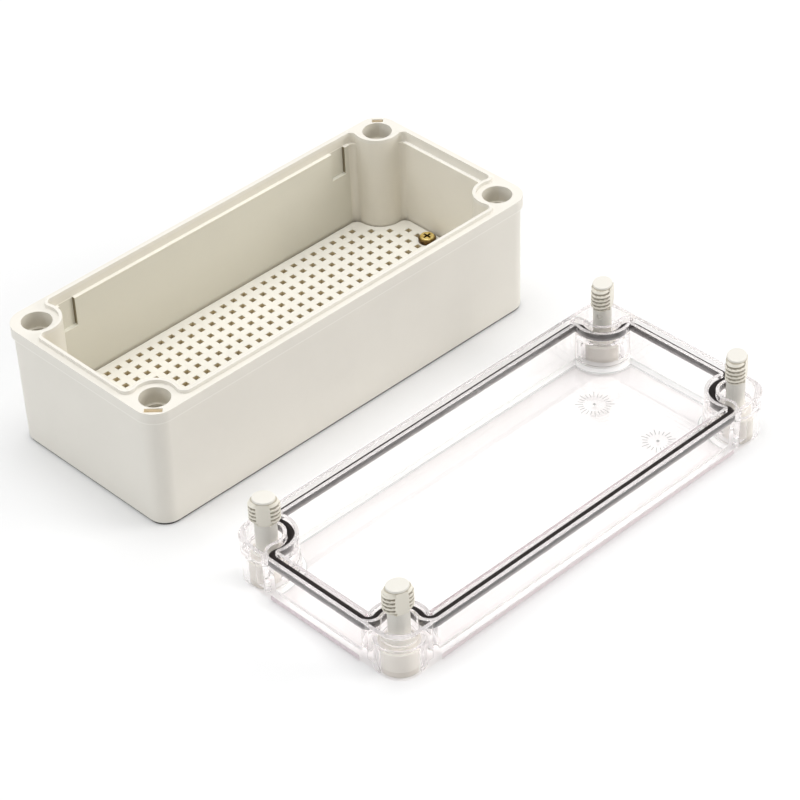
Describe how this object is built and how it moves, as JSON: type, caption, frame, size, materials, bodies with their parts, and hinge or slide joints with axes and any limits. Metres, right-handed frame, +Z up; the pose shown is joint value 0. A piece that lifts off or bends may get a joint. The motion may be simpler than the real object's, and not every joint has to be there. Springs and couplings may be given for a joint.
{
  "type": "junction box",
  "caption": "Shallow rectangular moulded junction box with a perforated inner plate, and its clear cover lifted off and lying upside down beside it on captive screws.",
  "frame": {"origin": "centre of the base's underside, where the base rests", "axes": "+X along the 180 mm length, +Y across the 80 mm width away from the cover, +Z up through the open top"},
  "size_m": [0.1819, 0.192, 0.0501],
  "materials": {
    "base_plastic": "satin moulded",
    "plate_plastic": "satin moulded",
    "brass": "plated",
    "clear_plastic": "clear polished",
    "gasket_rubber": "matte",
    "screw_plastic": "satin moulded"
  },
  "bodies": {
    "base": {"base_box": "base_plastic", "mounting_plate": "plate_plastic", "plate_screw_1": "brass", "plate_screw_2": "brass"},
    "cover": {"clear_cover": "clear_plastic", "cover_gasket": "gasket_rubber"},
    "cover_screw_1": {"cover_screw_1": "screw_plastic"},
    "cover_screw_2": {"cover_screw_2": "screw_plastic"},
    "cover_screw_3": {"cover_screw_3": "screw_plastic"},
    "cover_screw_4": {"cover_screw_4": "screw_plastic"}
  },
  "joints": [
    {"name": "cover_lift", "type": "slide", "parent": "base", "child": "cover", "axis": [0, 0, 1], "range_m": [0, 0.12]},
    {"name": "cover_screw_1_turn", "type": "hinge", "parent": "cover", "child": "cover_screw_1", "pos_m": [-0.0792, -0.1431, 0], "axis": [0, 0, 1], "continuous": true},
    {"name": "cover_screw_2_turn", "type": "hinge", "parent": "cover", "child": "cover_screw_2", "pos_m": [0.083, -0.1431, 0], "axis": [0, 0, 1], "continuous": true},
    {"name": "cover_screw_3_turn", "type": "hinge", "parent": "cover", "child": "cover_screw_3", "pos_m": [0.083, -0.0809, 0], "axis": [0, 0, 1], "continuous": true},
    {"name": "cover_screw_4_turn", "type": "hinge", "parent": "cover", "child": "cover_screw_4", "pos_m": [-0.0792, -0.0809, 0], "axis": [0, 0, 1], "continuous": true}
  ]
}
